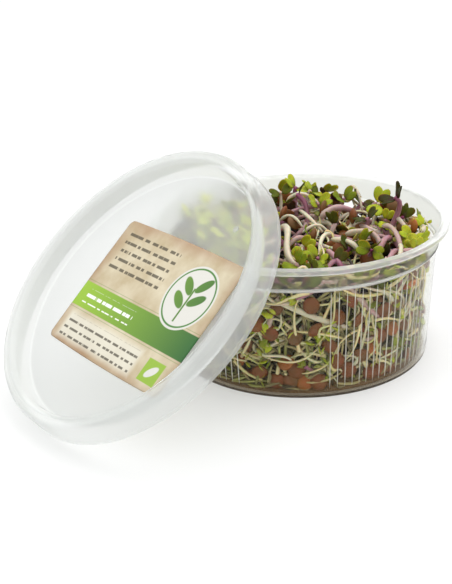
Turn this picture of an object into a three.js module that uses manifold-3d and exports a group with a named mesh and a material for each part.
// A filled tub of mixed sprouts: a clear round tub with ribs, a lid that leans on its rim and
// carries a label, and a heap of radish, lentil and alfalfa sprouts.
// Millimetres, +Z up. The origin is the middle of the tub's base, and the lid leans along -X.

import * as THREE from 'three';
import { mergeVertices } from 'three/addons/utils/BufferGeometryUtils.js';
import Module from 'manifold-3d';

const wasm = await Module();
wasm.setup();

const FULL_TURN = 2 * Math.PI;
const GOLDEN_ANGLE = Math.PI * (3 - Math.sqrt(5));
const CLEARANCE = 0.35;              // left between neighbours that touch in life
const SLIVER = 0.02;                 // size of the faces that are dropped after a join

// Tub
const TUB_HEIGHT = 53.7;
const TUB_WALL = 0.8;
const FLOOR_THICKNESS = 1;
const BASE_RADIUS = 49.75;           // outside of the wall, carried down to the table
const BASE_CORNER = 3;               // rounding between the base and the wall
const LEDGE_HEIGHT = 44.6;           // ring where the wall steps out to the collar
const LEDGE_RADIUS = 52.9;           // outside of the wall just under the ledge
const LEDGE_STEP = 0.7;
const COLLAR_RADIUS = 54.9;          // outside of the collar under the flange
const RIM_RADIUS = 57.5;
const FLANGE_THICKNESS = 2.1;
const EDGE_ROUND = 0.5;
const TUB_SEGMENTS = 55;
const RIB_PLACES = 2 * TUB_SEGMENTS; // round the wall, some of them in its smooth windows
const WINDOWS = 4;                   // smooth stretches of the wall, on the diagonals
const WINDOW_HALF = THREE.MathUtils.degToRad(18.5);
const RIB_RADIUS = 0.6;              // of the three-sided section
const RIB_PROUD = 0.4;
const RIB_FOOT = 4;                  // height of the ribs' lower end

// Lid, in its own frame: its top bead at z = 0 and its panel below
const LID_SEGMENTS = 48;
const LID_TILT = THREE.MathUtils.degToRad(41.5);
const LID_SHIFT = -3;                // sideways, along Y
const LID_LIFT = 0.1;                // of the skirt's lowest point over the table
const LID_WALL = 0.8;
const SKIRT_DEPTH = 10.8;
const SKIRT_RADIUS = 59.3;           // outside of the skirt at its lower edge
const SKIRT_TOP_RADIUS = 58.6;       // outside of the skirt under the bead
const BEAD_OUTER = 57.2;             // flat top of the bead
const BEAD_INNER = 54.6;
const BEAD_SHOULDER = 1.8;           // height of the bead's rounded shoulders
const PLUG_RADIUS = 53.2;            // inside of the wall that plugs into the tub
const PANEL_DEPTH = 9.2;
const PANEL_RADIUS = 51.8;           // flat part of the panel

// Label on the panel, in the lid's frame: its length runs along -Y
const LABEL_LENGTH = 74;
const LABEL_HEIGHT = 55;
const LABEL_THICKNESS = 0.3;
const LABEL_CORNER = 4;
const LABEL_CENTRE = new THREE.Vector2(-2, -4.2);
const LABEL_TURN = THREE.MathUtils.degToRad(2.7);

// Heap of sprouts
const HEAP_SEED = 20611;
const TRIES = 200;                   // draws for a place before a sprout is left out
const LAYER = 9;                     // between the tub's wall and the core of the tangle
const CORE_BOTTOM = 2;
const CORE_EDGE = 21;                // height where the core's side turns into its top
const CORE_TOP = 26;
const CORE_SEGMENTS = 30;
const CORE_WAVES = [[0.024, 9, 0.5], [0.018, 13, -0.8]];  // share of the radius, number, slant
const CORE_RIPPLE = 1.3;             // height of the ripples on its top

// Radish sprouts
const RADISH_TOP_COUNT = 15;
const RADISH_REACH = 41;             // radius of the disc that their roots are spread over
const RADISH_STEM_RADIUS = 1.1;
const RADISH_STEM_SIDES = 5;
const RADISH_STEM_STEPS = 5;
const RADISH_LEAF_LENGTH = [6.5, 9];
const RADISH_LEAF_SIDES = 10;
const RADISH_HUB = 1.3;              // where the two seed leaves join
const TALL_RADISH = [                // root and tip of the ones that stand over the rim
  [[26, -8, 17], [33.6, -18.7, 58]],
  [[8, 12, 18], [15, 19.7, 53]],
];
const WALL_RADISH = [                // turn in degrees and height of both ends, along the wall
  [[-146, 38], [-108, 27]],
  [[-108, 42], [-86, 27]],
  [[-20, 20], [18, 36]],
  [[70, 40], [106, 24]],
  [[150, 22], [184, 38]],
];

// Lentil sprouts
const LENTIL_RADIUS = 3.4;
const LENTIL_THICKNESS = 2.9;
const LENTIL_SIDES = 7;
const LENTIL_DEPTH = 3.4;            // of their middles inside the wall
const LENTIL_BASE = 5.3;             // height of the lowest row's middles
const LENTIL_SPACING = 5.1;
const LENTIL_ROW = 4.4;
const WALL_LENTIL_HEAPS = 8;
const TOP_LENTIL_HEAPS = 3;
const ROOT_RADIUS = 0.6;
const ROOT_SIDES = 3;
const ROOT_STEPS = 3;

// Alfalfa sprouts
const ALFALFA_WALL_COUNT = 26;
const ALFALFA_TOP_COUNT = 30;
const ALFALFA_STEM_RADIUS = 0.65;
const ALFALFA_STEM_SIDES = 3;
const ALFALFA_STEM_STEPS = 4;
const ALFALFA_LEAF_LENGTH = [3, 4.4];
const ALFALFA_LEAF_SIDES = 5;

// Seed leaves of both kinds
const LEAF_THICKNESS = 0.7;
const SECOND_SPREAD = 0.86;          // of a pair's second leaf, beside the first one's
const FOOT_APART = 0.42;             // of a leaf's foot from the stem's middle
const FOOT_SINK = 0.5;               // of a leaf's foot in what it grows from

// Solids: closed geometries as manifold solids, and back

function toSolid(geometry) {
  const bare = new THREE.BufferGeometry();
  const loose = geometry.index ? geometry.toNonIndexed() : geometry;
  bare.setAttribute('position', loose.getAttribute('position'));
  const merged = mergeVertices(bare, 1e-4);
  const corners = merged.index.array;
  const triangles = [];
  for (let i = 0; i < corners.length; i += 3) {
    const [a, b, c] = corners.slice(i, i + 3);
    if (a !== b && b !== c && c !== a) triangles.push(a, b, c);
  }
  return new wasm.Manifold(new wasm.Mesh({
    numProp: 3,
    vertProperties: merged.getAttribute('position').array,
    triVerts: new Uint32Array(triangles),
  }));
}

function toGeometry(solid) {
  const { vertProperties, triVerts } = solid.getMesh();
  const geometry = new THREE.BufferGeometry();
  geometry.setAttribute('position', new THREE.BufferAttribute(vertProperties, 3));
  geometry.setIndex(new THREE.BufferAttribute(triVerts, 1));
  geometry.computeVertexNormals();
  return geometry;
}

// Joins solids, without the slivers that crossings leave
const fuse = (solids) => solids.reduce((whole, solid) => whole.add(solid)).simplify(SLIVER);

// The largest body of a solid: loose scraps and sealed hollows are dropped
function mainBody(solid) {
  const bodies = solid.decompose();
  return bodies.reduce((best, body) => (body.volume() > best.volume() ? body : best));
}

// Turns a profile of [radius, height] points round the Z axis
function turned(profile, segments) {
  const points = profile.map(([radius, height]) => new THREE.Vector2(radius, height));
  return new THREE.LatheGeometry(points, segments).rotateX(Math.PI / 2);
}

// Points of a quarter round from straight down to straight out, for an outside corner
function cornerArc(middleRadius, middleHeight, radius, steps) {
  return Array.from({ length: steps + 1 }, (_, i) => {
    const angle = (i / steps) * (Math.PI / 2);
    return [middleRadius + radius * Math.sin(angle), middleHeight - radius * Math.cos(angle)];
  });
}

// A round stem: a few-sided section carried along a curve
function stem(curve, radius, sides, steps) {
  const section = new THREE.Shape(Array.from({ length: sides }, (_, i) => new THREE.Vector2(
    radius * Math.cos((i / sides) * FULL_TURN),
    radius * Math.sin((i / sides) * FULL_TURN),
  )));
  const options = { extrudePath: curve, steps, bevelEnabled: false };
  return toSolid(new THREE.ExtrudeGeometry(section, options));
}

// Tub and lid

// Inside radius of the tub's wall at a height, less by the corner near the floor
function innerRadius(height) {
  const slope = (LEDGE_RADIUS - BASE_RADIUS) / LEDGE_HEIGHT;
  const corner = Math.max(0, FLOOR_THICKNESS + BASE_CORNER - height) * 0.6;
  return BASE_RADIUS - TUB_WALL + slope * Math.min(height, LEDGE_HEIGHT) - corner;
}

function tubSolid() {
  const flangeUnder = TUB_HEIGHT - FLANGE_THICKNESS;
  const cornerMiddle = BASE_RADIUS - BASE_CORNER;
  const outside = [
    [0, 0],
    ...cornerArc(cornerMiddle, BASE_CORNER, BASE_CORNER, 3),
    [LEDGE_RADIUS, LEDGE_HEIGHT - LEDGE_STEP],
    [LEDGE_RADIUS + LEDGE_STEP, LEDGE_HEIGHT],
    [COLLAR_RADIUS, flangeUnder],
    [RIM_RADIUS - EDGE_ROUND, flangeUnder],
    [RIM_RADIUS, flangeUnder + EDGE_ROUND],
    [RIM_RADIUS, TUB_HEIGHT - EDGE_ROUND],
    [RIM_RADIUS - EDGE_ROUND, TUB_HEIGHT],
  ];
  const inside = [
    [0, FLOOR_THICKNESS],
    ...cornerArc(cornerMiddle, BASE_CORNER, BASE_CORNER - TUB_WALL, 3)
      .map(([radius, height]) => [radius, height + FLOOR_THICKNESS - TUB_WALL]),
    [LEDGE_RADIUS - TUB_WALL, LEDGE_HEIGHT - LEDGE_STEP + TUB_WALL / 2],
    [LEDGE_RADIUS + LEDGE_STEP - TUB_WALL, LEDGE_HEIGHT + TUB_WALL / 2],
    [COLLAR_RADIUS - TUB_WALL, TUB_HEIGHT - EDGE_ROUND],
    [COLLAR_RADIUS - TUB_WALL + EDGE_ROUND, TUB_HEIGHT],
  ];
  return toSolid(turned([...outside, ...inside.reverse()], TUB_SEGMENTS));
}

// One rib, a slim bar that stands out of the wall at a turn round the tub
function ribSolid(turn) {
  const top = LEDGE_HEIGHT - 2 * LEDGE_STEP;
  const length = top - RIB_FOOT;
  const lean = Math.atan2(LEDGE_RADIUS - BASE_RADIUS, LEDGE_HEIGHT - BASE_CORNER);
  const wallRadius = (height) => innerRadius(height) + TUB_WALL;
  const middle = (wallRadius(top) + wallRadius(RIB_FOOT)) / 2 + RIB_PROUD - RIB_RADIUS;
  const bar = new THREE.CylinderGeometry(RIB_RADIUS, RIB_RADIUS, length, 3)
    .rotateX(Math.PI / 2)
    .rotateZ(Math.PI / 2)
    .rotateY(lean)
    .translate(middle, 0, (top + RIB_FOOT) / 2)
    .rotateZ(turn);
  return toSolid(bar);
}

// Ribs stand at an even pitch all round the wall, two on each of its facets, except in the windows
function ribbedTub() {
  const ribs = [];
  const quarter = FULL_TURN / WINDOWS;
  for (let i = 0; i < RIB_PLACES; i += 1) {
    const turn = ((i + 0.5) / RIB_PLACES) * FULL_TURN;
    const fromWindow = Math.abs((turn % quarter) - quarter / 2);
    if (fromWindow > WINDOW_HALF) ribs.push(ribSolid(turn - quarter));
  }
  return fuse([tubSolid(), ...ribs]);
}

function lidGeometry() {
  const under = PANEL_DEPTH + LID_WALL;
  return turned([
    [0, -under],
    [PLUG_RADIUS, -under],
    [PLUG_RADIUS + LID_WALL / 2, -under + LID_WALL / 2],
    [BEAD_INNER - LID_WALL, -BEAD_SHOULDER],
    [BEAD_INNER, -LID_WALL],
    [BEAD_OUTER, -LID_WALL],
    [SKIRT_TOP_RADIUS - LID_WALL, -BEAD_SHOULDER],
    [SKIRT_RADIUS - LID_WALL, -SKIRT_DEPTH],
    [SKIRT_RADIUS, -SKIRT_DEPTH],
    [SKIRT_TOP_RADIUS, -BEAD_SHOULDER],
    [SKIRT_TOP_RADIUS - LID_WALL / 2, -LID_WALL / 2],
    [BEAD_OUTER, 0],
    [BEAD_INNER, 0],
    [BEAD_INNER - LID_WALL, -LID_WALL / 2],
    [PLUG_RADIUS, -BEAD_SHOULDER],
    [PLUG_RADIUS - LID_WALL / 2, -PANEL_DEPTH + LID_WALL / 2],
    [PANEL_RADIUS, -PANEL_DEPTH],
    [0, -PANEL_DEPTH],
  ], LID_SEGMENTS);
}

// The lid stands with its skirt on the table and its panel against the tub's rim
function lidPlace() {
  const sin = Math.sin(LID_TILT);
  const cos = Math.cos(LID_TILT);
  const height = SKIRT_RADIUS * sin + SKIRT_DEPTH * cos + LID_LIFT;
  const rim = Math.max(
    RIM_RADIUS * sin + (TUB_HEIGHT - EDGE_ROUND) * cos,
    (RIM_RADIUS - EDGE_ROUND) * sin + TUB_HEIGHT * cos,
  );
  const fromOrigin = rim + PANEL_DEPTH + LID_WALL + CLEARANCE;
  return new THREE.Vector3((height * cos - fromOrigin) / sin, LID_SHIFT, height);
}

function labelGeometry() {
  const [x, y] = [LABEL_HEIGHT / 2, LABEL_LENGTH / 2];
  const inset = [x - LABEL_CORNER, y - LABEL_CORNER];
  const outline = new THREE.Shape()
    .absarc(inset[0], inset[1], LABEL_CORNER, 0, FULL_TURN / 4)
    .absarc(-inset[0], inset[1], LABEL_CORNER, FULL_TURN / 4, FULL_TURN / 2)
    .absarc(-inset[0], -inset[1], LABEL_CORNER, FULL_TURN / 2, FULL_TURN * 3 / 4)
    .absarc(inset[0], -inset[1], LABEL_CORNER, FULL_TURN * 3 / 4, FULL_TURN);
  const options = { depth: LABEL_THICKNESS, bevelEnabled: false, curveSegments: 5 };
  return new THREE.ExtrudeGeometry(outline, options)
    .rotateZ(LABEL_TURN)
    .translate(LABEL_CENTRE.x, LABEL_CENTRE.y, -PANEL_DEPTH + CLEARANCE);
}

// Sprouts

// Seeded draws: each is a number between low and high
function drawsFrom(seed) {
  const multiplier = 48271;
  const modulus = 2147483647;
  let state = seed;
  return (low, high) => {
    state = (state * multiplier) % modulus;
    return low + ((high - low) * state) / modulus;
  };
}

const draw = drawsFrom(HEAP_SEED);

const polar = (radius, turn, height) => new THREE.Vector3(
  radius * Math.cos(turn),
  radius * Math.sin(turn),
  height,
);

// A curve along the wall: its control points hold turn, depth inside the wall and height
class WallCurve extends THREE.CubicBezierCurve3 {
  getPoint(t, target = new THREE.Vector3()) {
    const { x: turn, y: depth, z: height } = super.getPoint(t, new THREE.Vector3());
    return target.copy(polar(innerRadius(height) - depth, turn, height));
  }
}

// Balls that stand for what is placed already, so that new sprouts are bent clear of it
const taken = [];
const lidPosition = lidPlace();

// True if a ball is inside the tub, or over it, and under the lid
function hasRoom({ centre, radius }) {
  const side = Math.hypot(centre.x, centre.y) + radius + CLEARANCE;
  const fromLid = (centre.x - lidPosition.x) * -Math.sin(LID_TILT)
    + (centre.z - lidPosition.z) * Math.cos(LID_TILT) + PANEL_DEPTH + LID_WALL;
  return centre.z - radius > FLOOR_THICKNESS + CLEARANCE
    && side < innerRadius(centre.z)
    && fromLid < -radius - 2 * CLEARANCE;
}

const isClear = (ball) => hasRoom(ball) && taken.every(
  ({ centre, radius }) => centre.distanceTo(ball.centre) > radius + ball.radius + CLEARANCE,
);

// The core of the tangle: its radius at a height, and its height at a share of its radius
const coreRadius = (height) => innerRadius(height) - LAYER;
const domeHeight = (share) => CORE_EDGE + (CORE_TOP - CORE_EDGE) * (1 - share ** 3);

// True if a ball stays out of the core, whose waves are allowed for
function isOutsideCore({ centre, radius }) {
  const wave = CORE_WAVES.reduce((sum, [share]) => sum + share, 1);
  const fromAxis = Math.hypot(centre.x, centre.y) - radius;
  const edge = coreRadius(CORE_EDGE) * wave;
  const share = Math.min(1, Math.max(0, fromAxis / edge));
  return fromAxis > coreRadius(Math.min(centre.z, CORE_EDGE)) * wave + CLEARANCE
    || centre.z - radius > domeHeight(share) + CORE_RIPPLE + CLEARANCE;
}

// Draws a sprout until all its balls are clear and its leaves or seeds stay out of the core
function place(make) {
  for (let i = 0; i < TRIES; i += 1) {
    const made = make();
    if (made.balls.every(isClear) && made.outside.every(isOutsideCore)) {
      taken.push(...made.balls);
      return made;
    }
  }
  return null;
}

const ballsAlong = (curve, radius, count) => curve.getPoints(count)
  .map((centre) => ({ centre, radius }));

// Direction of a curve's end
const endDirection = (curve) => curve.getPoint(1).sub(curve.getPoint(0.96)).normalize();

// Outline of a radish seed leaf round its middle, in blade lengths: round, with a notch at the
// tip, where the angle is 0, and drawn out at the foot
function notchedOutline(angle) {
  const fromFoot = Math.PI - Math.abs(angle);
  return 0.47 - 0.13 * Math.exp(-((angle / 0.38) ** 2)) + 0.09 * Math.exp(-((fromFoot / 0.45) ** 2));
}

// Outline of an alfalfa seed leaf: a slim oval
const ovalOutline = (angle) => 0.5 / Math.hypot(Math.cos(angle), Math.sin(angle) / 0.56);

// A leaf blade with its foot at the origin, along +X, upper face to +Z: two fans that meet at
// the edge, cupped along the middle
function blade(outline, length, sides) {
  const middle = outline(Math.PI);
  const cup = 0.35;
  const leaf = new THREE.SphereGeometry(1, sides, 3).rotateX(Math.PI / 2);
  const points = leaf.getAttribute('position');
  for (let i = 0; i < points.count; i += 1) {
    const [x, y, z] = [points.getX(i), points.getY(i), points.getZ(i)];
    const angle = Math.atan2(y, x);
    const reach = Math.abs(z) > 0.9 ? 0 : outline(angle);
    const across = reach * Math.sin(angle);
    const height = length * cup * across * across + (Math.sign(z) * LEAF_THICKNESS) / 2;
    points.setXYZ(i, length * (middle + reach * Math.cos(angle)), length * across, height);
  }
  return toSolid(leaf);
}

// Two leaf frames at a stem's end: the blades stand out to both sides of it
function leafFrames(foot, direction, roll, spread) {
  const reference = Math.abs(direction.z) < 0.9 ? new THREE.Vector3(0, 0, 1) : new THREE.Vector3(1, 0, 0);
  const side = direction.clone().cross(reference).normalize().applyAxisAngle(direction, roll);
  const across = direction.clone().cross(side);
  return [[1, spread], [-1, spread * SECOND_SPREAD]].map(([sign, angle]) => {
    const along = side.clone().multiplyScalar(sign * Math.sin(angle))
      .addScaledVector(direction, Math.cos(angle));
    const width = across.clone().multiplyScalar(sign);
    const frame = new THREE.Matrix4().makeBasis(along, width, along.clone().cross(width));
    const start = foot.clone().addScaledVector(side, sign * FOOT_APART);
    return frame.setPosition(start.addScaledVector(direction, -FOOT_SINK));
  });
}

// Balls over a leaf, each as [along, across, radius] in blade lengths
const LEAF_BALLS = [
  [0.3, 0, 0.2],
  [0.6, 0.26, 0.24],
  [0.6, -0.26, 0.24],
  [0.85, 0.22, 0.2],
  [0.85, -0.22, 0.2],
];
const ballsOver = (frame, length) => LEAF_BALLS.map(([along, across, radius]) => ({
  centre: new THREE.Vector3(along * length, across * length, 0).applyMatrix4(frame),
  radius: radius * length,
}));

const placed = (solid, frame) => solid.transform(frame.elements);

// A radish sprout on a curve, with its two seed leaves at the end
function radishOn(curve) {
  const direction = endDirection(curve);
  const hub = curve.getPoint(1).addScaledVector(direction, RADISH_HUB + CLEARANCE);
  const leafLength = draw(...RADISH_LEAF_LENGTH);
  const frames = leafFrames(hub, direction, draw(0, FULL_TURN), draw(0.8, 1.3));
  const stemBalls = ballsAlong(curve, RADISH_STEM_RADIUS, 14);
  const leafBalls = frames.flatMap((frame) => ballsOver(frame, leafLength));
  return { curve, hub, frames, leafLength, balls: [...stemBalls, ...leafBalls], outside: leafBalls };
}

// A radish sprout that rises from its root and heads for its tip
function risingRadish(root, tip, heading) {
  const lift = new THREE.Vector3(0, 0, draw(7, 13));
  const nod = new THREE.Vector3(Math.cos(heading), Math.sin(heading), draw(0.2, 1)).normalize();
  const lower = root.clone().add(lift);
  const upper = tip.clone().addScaledVector(nod, -draw(6, 10));
  return radishOn(new THREE.CubicBezierCurve3(root, lower, upper, tip));
}

function tallRadish([rootPlace, tipPlace]) {
  const root = new THREE.Vector3(...rootPlace);
  const tip = new THREE.Vector3(...tipPlace);
  return risingRadish(root, tip, draw(0, FULL_TURN));
}

// Roots are spread evenly over a disc, turned by the golden angle from one to the next
function topRadish(slot) {
  const spread = RADISH_REACH * Math.sqrt((slot + 0.5) / RADISH_TOP_COUNT);
  const root = polar(spread * draw(0.8, 1), slot * GOLDEN_ANGLE + draw(-0.5, 0.5), draw(14, 18));
  const heading = draw(0, FULL_TURN);
  const tip = root.clone().add(polar(draw(6, 22), heading, draw(23, 32)));
  return risingRadish(root, tip, heading);
}

function wallRadish([[turnA, heightA], [turnB, heightB]]) {
  const { degToRad } = THREE.MathUtils;
  const ends = [degToRad(turnA), degToRad(turnB)];
  const turnAt = (share) => ends[0] + (ends[1] - ends[0]) * share;
  return radishOn(new WallCurve(
    new THREE.Vector3(ends[0], draw(9, 11), heightA),
    new THREE.Vector3(turnAt(0.3), draw(0.5, 1.5), heightA + draw(-4, 2)),
    new THREE.Vector3(turnAt(0.7), draw(2, 3), heightB + draw(-2, 5)),
    new THREE.Vector3(ends[1], draw(3, 5), heightB),
  ));
}

// A lentil lies in its frame with its flat faces to +Z and -Z
function lentilSolid() {
  const steps = 4;
  const profile = Array.from({ length: steps + 1 }, (_, i) => {
    const radius = LENTIL_RADIUS * Math.sin((i / steps) * Math.PI);
    const bulge = (LENTIL_THICKNESS / 2) * (1 - (radius / LENTIL_RADIUS) ** 2);
    return [i === steps ? 0 : radius, (2 * i < steps ? -1 : 1) * bulge];
  });
  return toSolid(turned(profile, LENTIL_SIDES));
}

// Frame with its Z axis along a direction
function facing(position, direction) {
  const turn = new THREE.Quaternion().setFromUnitVectors(new THREE.Vector3(0, 0, 1), direction);
  return new THREE.Matrix4().compose(position, turn, new THREE.Vector3(1, 1, 1));
}

const lentilBalls = (position, direction) => {
  const side = new THREE.Vector3(-direction.y, direction.x, 0).normalize();
  const up = direction.clone().cross(side);
  const around = [[0, 0], [1, 0], [-1, 0], [0, 1], [0, -1]];
  const reach = LENTIL_RADIUS - LENTIL_THICKNESS / 2;
  return around.map(([a, b]) => ({
    centre: position.clone().addScaledVector(side, a * reach).addScaledVector(up, b * reach),
    radius: LENTIL_THICKNESS / 2,
  }));
};

// Lentils at places on the wall, [along the wall, up] in spacings and rows, with faces tipped a little
function lentilHeap(turn, height, depth, layout) {
  const lentils = layout.map(([along, up]) => {
    const level = height + up * LENTIL_ROW + draw(-0.3, 0.3);
    const radius = innerRadius(level) - depth - draw(0, 0.5);
    const at = turn + ((along + draw(-0.04, 0.04)) * LENTIL_SPACING) / radius;
    const direction = polar(1, at + draw(-0.16, 0.16), draw(-0.16, 0.16)).normalize();
    return { position: polar(radius, at, level), direction };
  });
  const balls = lentils.flatMap(({ position, direction }) => lentilBalls(position, direction));
  return { lentils, balls, outside: balls };
}

const WALL_LAYOUT = [[-1, 0], [0, 0], [1, 0], [0.5, 1]];
const TOP_LAYOUT = [[-0.5, 0], [0.5, 0.3]];

const wallLentils = (heap) => lentilHeap(
  (heap / WALL_LENTIL_HEAPS) * FULL_TURN + draw(-0.12, 0.12),
  LENTIL_BASE,
  LENTIL_DEPTH,
  WALL_LAYOUT,
);

const topLentils = () => lentilHeap(draw(0, FULL_TURN), draw(37, 44), draw(6, 34), TOP_LAYOUT);

// A root runs from close to a lentil's edge back into the core
function lentilRoot({ position, direction }) {
  const inward = new THREE.Vector3(-position.x, -position.y, 0).normalize();
  const side = new THREE.Vector3(-direction.y, direction.x, 0).normalize();
  const angle = draw(0.2, Math.PI - 0.2);
  const out = side.multiplyScalar(Math.cos(angle)).add(new THREE.Vector3(0, 0, Math.sin(angle)));
  const start = position.clone().addScaledVector(out, LENTIL_RADIUS + ROOT_RADIUS + CLEARANCE);
  const bend = start.clone().addScaledVector(out, draw(3, 6));
  const turnIn = bend.clone().addScaledVector(inward, draw(3, 6));
  const end = turnIn.clone().addScaledVector(inward, 7);
  const curve = new THREE.CubicBezierCurve3(start, bend, turnIn, end);
  return { curve, balls: ballsAlong(curve, ROOT_RADIUS, 8), outside: [] };
}

// An alfalfa sprout on a curve
function alfalfaOn(curve) {
  const direction = endDirection(curve);
  const leafLength = draw(...ALFALFA_LEAF_LENGTH);
  const frames = leafFrames(curve.getPoint(1), direction, draw(0, FULL_TURN), draw(0.5, 1.1));
  const leafBalls = frames.map((frame) => ({
    centre: new THREE.Vector3(leafLength / 2, 0, 0).applyMatrix4(frame),
    radius: leafLength * 0.45,
  }));
  const balls = [...ballsAlong(curve, ALFALFA_STEM_RADIUS, 12), ...leafBalls];
  return { curve, frames, leafLength, balls, outside: leafBalls };
}

// Comes out of the core and runs along the wall
function wallAlfalfa(slot) {
  const turn = slot * GOLDEN_ANGLE + draw(-0.3, 0.3);
  const height = draw(7, 38);
  const run = draw(8, 20) / BASE_RADIUS;
  const heading = draw(0, FULL_TURN);
  const along = run * Math.cos(heading);
  const up = run * BASE_RADIUS * Math.sin(heading);
  const tipHeight = THREE.MathUtils.clamp(height + up, 6, 43);
  return alfalfaOn(new WallCurve(
    new THREE.Vector3(turn, LAYER + 4, height),
    new THREE.Vector3(turn + along * 0.1, draw(0, 2), height + draw(-3, 3)),
    new THREE.Vector3(turn + along * 0.6, draw(1, 3), tipHeight + draw(-6, 6)),
    new THREE.Vector3(turn + along, draw(2.4, 5), tipHeight),
  ));
}

// Comes out of the core's top and leans over the heap
function topAlfalfa(slot) {
  const spread = RADISH_REACH * Math.sqrt((slot + 0.5) / ALFALFA_TOP_COUNT);
  const root = polar(spread * draw(0.9, 1), slot * GOLDEN_ANGLE + draw(-0.4, 0.4), 17);
  const heading = draw(0, FULL_TURN);
  const tip = root.clone().add(polar(draw(4, 18), heading, draw(17, 31)));
  const lower = root.clone().add(new THREE.Vector3(0, 0, draw(9, 15)));
  const upper = tip.clone().sub(polar(draw(2, 8), heading + draw(-1, 1), draw(-4, 4)));
  return alfalfaOn(new THREE.CubicBezierCurve3(root, lower, upper, tip));
}

// Core of the tangle: a smaller body inside the layer of sprouts, waved like matted strands
function coreSolid() {
  const edge = coreRadius(CORE_EDGE);
  const side = [CORE_BOTTOM, 8, 14, CORE_EDGE].map((height) => [coreRadius(height), height]);
  const dome = [0.82, 0.62, 0.42, 0.22].map((share) => [edge * share, domeHeight(share)]);
  const core = turned([[0, CORE_BOTTOM], ...side, ...dome, [0, CORE_TOP]], CORE_SEGMENTS);
  const points = core.getAttribute('position');
  for (let i = 0; i < points.count; i += 1) {
    const [x, y, z] = [points.getX(i), points.getY(i), points.getZ(i)];
    const turn = Math.atan2(y, x);
    const waved = CORE_WAVES.reduce(
      (sum, [share, number, slant]) => sum + share * Math.sin(number * turn + slant * z),
      1,
    );
    const ripple = z > CORE_EDGE ? CORE_RIPPLE * Math.sin(0.42 * x + 0.2 * y) * Math.cos(0.37 * y) : 0;
    points.setXYZ(i, x * waved, y * waved, z + ripple);
  }
  return toSolid(core);
}

// Scene graph

const colours = {
  tub: { color: 0xe4e9e4, roughness: 0.12, transparent: true, opacity: 0.25 },
  lid: { color: 0xf0f2ee, roughness: 0.3, transparent: true, opacity: 0.55 },
  label: { color: 0xe6d9b8, roughness: 0.6 },
  tangle: { color: 0xddd6b4, roughness: 0.5 },
  lentil: { color: 0x9c5a2e, roughness: 0.55 },
  radishStem: { color: 0xb884ac, roughness: 0.4 },
  radishLeaf: { color: 0x86a82c, roughness: 0.45 },
};

function mesh(name, geometry, finish) {
  const made = new THREE.Mesh(geometry, new THREE.MeshStandardMaterial({ metalness: 0, ...finish }));
  made.name = name;
  return made;
}

const numbered = (name, i) => `${name}_${String(i + 1).padStart(2, '0')}`;
const filled = new THREE.Group();
filled.add(mesh('tub', toGeometry(ribbedTub()), colours.tub));

const leaning = new THREE.Group();
leaning.position.copy(lidPosition);
leaning.rotation.y = -LID_TILT;
leaning.add(mesh('lid', toGeometry(toSolid(lidGeometry())), colours.lid));
leaning.add(mesh('label', toGeometry(toSolid(labelGeometry())), colours.label));
filled.add(leaning);

const radishes = [
  ...TALL_RADISH.map((ends) => place(() => tallRadish(ends))),
  ...WALL_RADISH.map((ends) => place(() => wallRadish(ends))),
];
const wallHeaps = Array.from({ length: WALL_LENTIL_HEAPS }, (_, i) => place(() => wallLentils(i)));
for (let slot = 0; slot < RADISH_TOP_COUNT; slot += 1) radishes.push(place(() => topRadish(slot)));
const topHeaps = Array.from({ length: TOP_LENTIL_HEAPS }, () => place(topLentils));

const roots = [...wallHeaps, ...topHeaps].filter(Boolean)
  .flatMap(({ lentils }) => lentils)
  .map((lentil) => place(() => lentilRoot(lentil)));
const alfalfa = [];
for (let slot = 0; slot < ALFALFA_WALL_COUNT; slot += 1) alfalfa.push(place(() => wallAlfalfa(slot)));
for (let slot = 0; slot < ALFALFA_TOP_COUNT; slot += 1) alfalfa.push(place(() => topAlfalfa(slot)));

radishes.filter(Boolean).forEach(({ curve, hub, frames, leafLength }, i) => {
  const stalk = stem(curve, RADISH_STEM_RADIUS, RADISH_STEM_SIDES, RADISH_STEM_STEPS);
  const joint = toSolid(new THREE.OctahedronGeometry(RADISH_HUB).translate(hub.x, hub.y, hub.z));
  const leaf = blade(notchedOutline, leafLength, RADISH_LEAF_SIDES);
  const leaves = fuse([joint, ...frames.map((frame) => placed(leaf, frame))]);
  filled.add(mesh(numbered('radish_stem', i), toGeometry(stalk), colours.radishStem));
  filled.add(mesh(numbered('radish_leaves', i), toGeometry(leaves), colours.radishLeaf));
});

const lentil = lentilSolid();
[...wallHeaps, ...topHeaps].filter(Boolean).forEach(({ lentils }, i) => {
  const seeds = lentils.map(({ position, direction }) => placed(lentil, facing(position, direction)));
  filled.add(mesh(numbered('lentils', i), toGeometry(mainBody(fuse(seeds))), colours.lentil));
});

// The tangle: the core with a plain hole for each radish stem, and all pale stems that grow from it
const holes = radishes.filter(Boolean).map(({ curve }) => stem(
  curve,
  RADISH_STEM_RADIUS + CLEARANCE,
  RADISH_STEM_SIDES,
  RADISH_STEM_STEPS,
));
const paleStems = roots.filter(Boolean).map(({ curve }) => stem(
  curve,
  ROOT_RADIUS,
  ROOT_SIDES,
  ROOT_STEPS,
));
alfalfa.filter(Boolean).forEach(({ curve, frames, leafLength }) => {
  const leaf = blade(ovalOutline, leafLength, ALFALFA_LEAF_SIDES);
  paleStems.push(stem(curve, ALFALFA_STEM_RADIUS, ALFALFA_STEM_SIDES, ALFALFA_STEM_STEPS));
  paleStems.push(...frames.map((frame) => placed(leaf, frame)));
});
const core = coreSolid().subtract(fuse(holes));
const tangle = mainBody(fuse([core, ...paleStems]));
filled.add(mesh('alfalfa_tangle', toGeometry(tangle), colours.tangle));

export default filled;
